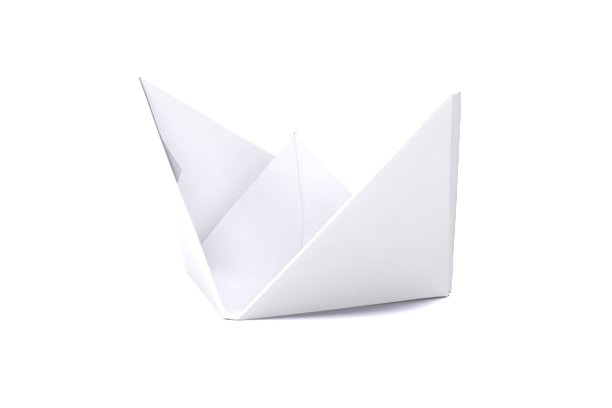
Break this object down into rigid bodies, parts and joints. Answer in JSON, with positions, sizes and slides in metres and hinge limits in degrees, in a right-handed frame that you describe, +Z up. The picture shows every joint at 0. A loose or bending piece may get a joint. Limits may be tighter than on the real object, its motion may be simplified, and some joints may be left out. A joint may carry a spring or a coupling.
{
  "type": "folded paper boat",
  "caption": "Traditional toy boat folded from one sheet of plain white paper, with raised pointed ends, a flat floor and a triangular sail in the middle.",
  "frame": {"origin": "middle of the boat's bounding box, on the ground under the floor", "axes": "+X along the boat from bow to stern, +Y away from the flat side it rests on, +Z up"},
  "size_m": [0.1236, 0.1008, 0.07],
  "materials": {
    "paper": "matte"
  },
  "bodies": {
    "root": {"paper_boat": "paper"}
  },
  "joints": []
}
